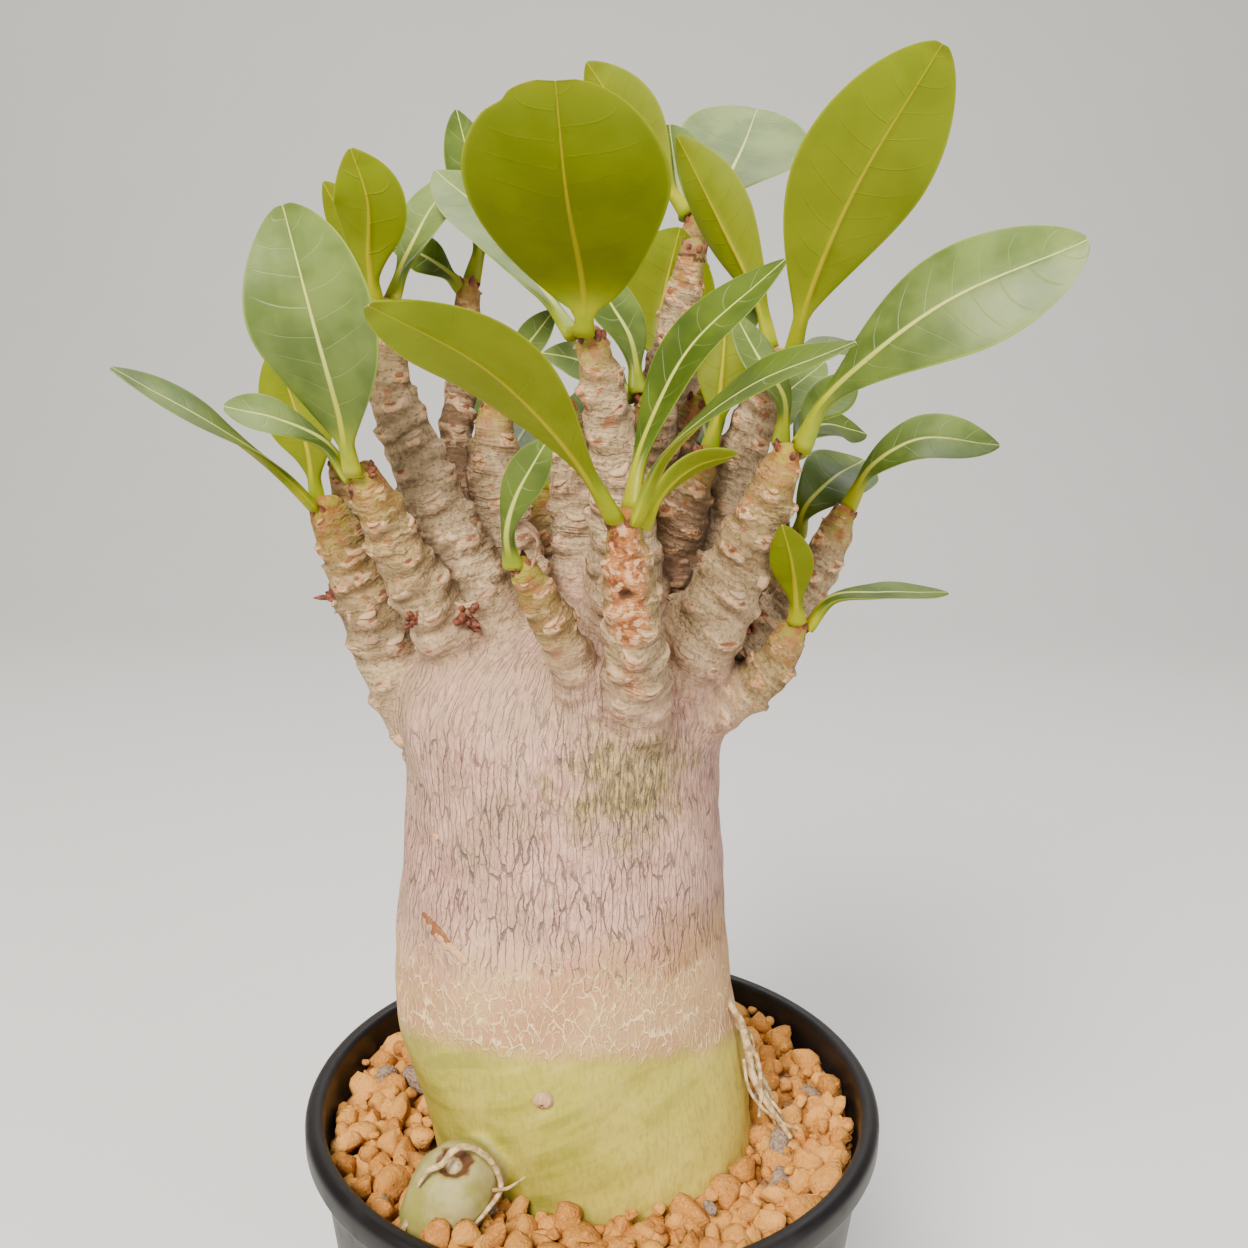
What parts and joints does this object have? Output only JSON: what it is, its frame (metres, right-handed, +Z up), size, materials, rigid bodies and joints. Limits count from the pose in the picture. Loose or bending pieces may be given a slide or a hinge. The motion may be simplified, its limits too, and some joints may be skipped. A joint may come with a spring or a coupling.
{
  "type": "potted desert rose adenium",
  "caption": "Desert rose with a swollen upright caudex, short ringed branches and leathery leaves, in a round black plastic pot of clay granules.",
  "frame": {"origin": "centre of the pot's flat base, on the surface it stands on", "axes": "+Z up along the pot's axis, +X to the viewer's right, +Y away from the viewer"},
  "size_m": [0.1563, 0.1476, 0.3163],
  "materials": {
    "pot_plastic": "satin injection-moulded polypropylene",
    "clay_granules": "rough baked clay granules",
    "bark": "living bark, smooth and waxy below, finely cracked above",
    "leaf": "waxy leathery leaf",
    "dry_leaf": "dry curled leaf"
  },
  "bodies": {
    "root": {"pot": "pot_plastic", "soil": "clay_granules", "caudex": "bark", "withered_leaf": "dry_leaf", "leaf_front_high_round": "leaf", "leaf_front_high_back": "leaf", "leaf_right_high_big": "leaf", "leaf_right_high_folded": "leaf", "leaf_right_high_low": "leaf", "leaf_right_front_big": "leaf", "leaf_right_front_slim": "leaf", "leaf_right_front_dark": "leaf", "leaf_right_front_short": "leaf", "leaf_left_front_big": "leaf", "leaf_left_front_low": "leaf", "leaf_left_main_yellow": "leaf", "leaf_left_main_back": "leaf", "leaf_left_main_pale": "leaf", "leaf_left_high_tall": "leaf", "leaf_left_high_low": "leaf", "leaf_back_hidden_tall": "leaf", "leaf_back_hidden_dark": "leaf", "leaf_back_hidden_broad": "leaf", "leaf_back_high_olive": "leaf", "leaf_twig_pale": "leaf", "leaf_twig_low": "leaf", "leaf_front_mid_left": "leaf", "leaf_front_mid_right": "leaf", "leaf_front_mid_small": "leaf", "leaf_front_mid_upright": "leaf", "leaf_back_short_dark": "leaf", "leaf_mid_right_olive": "leaf", "leaf_right_far_pale": "leaf", "leaf_right_back_broad": "leaf", "leaf_right_low_upright": "leaf", "leaf_right_low_flat": "leaf", "leaf_front_small_slim": "leaf", "leaf_far_left_long": "leaf", "leaf_far_left_olive": "leaf", "leaf_back_left_low": "leaf", "leaf_back_left_up": "leaf", "leaf_back_left_out": "leaf", "leaf_back_mid_up": "leaf", "leaf_back_mid_out": "leaf", "leaf_back_low_out": "leaf", "leaf_back_low_up": "leaf", "leaf_back_right_low_out": "leaf", "leaf_back_right_low_up": "leaf", "leaf_back_right_out": "leaf", "leaf_back_right_up": "leaf", "leaf_mid_left_slim": "leaf"}
  },
  "joints": []
}
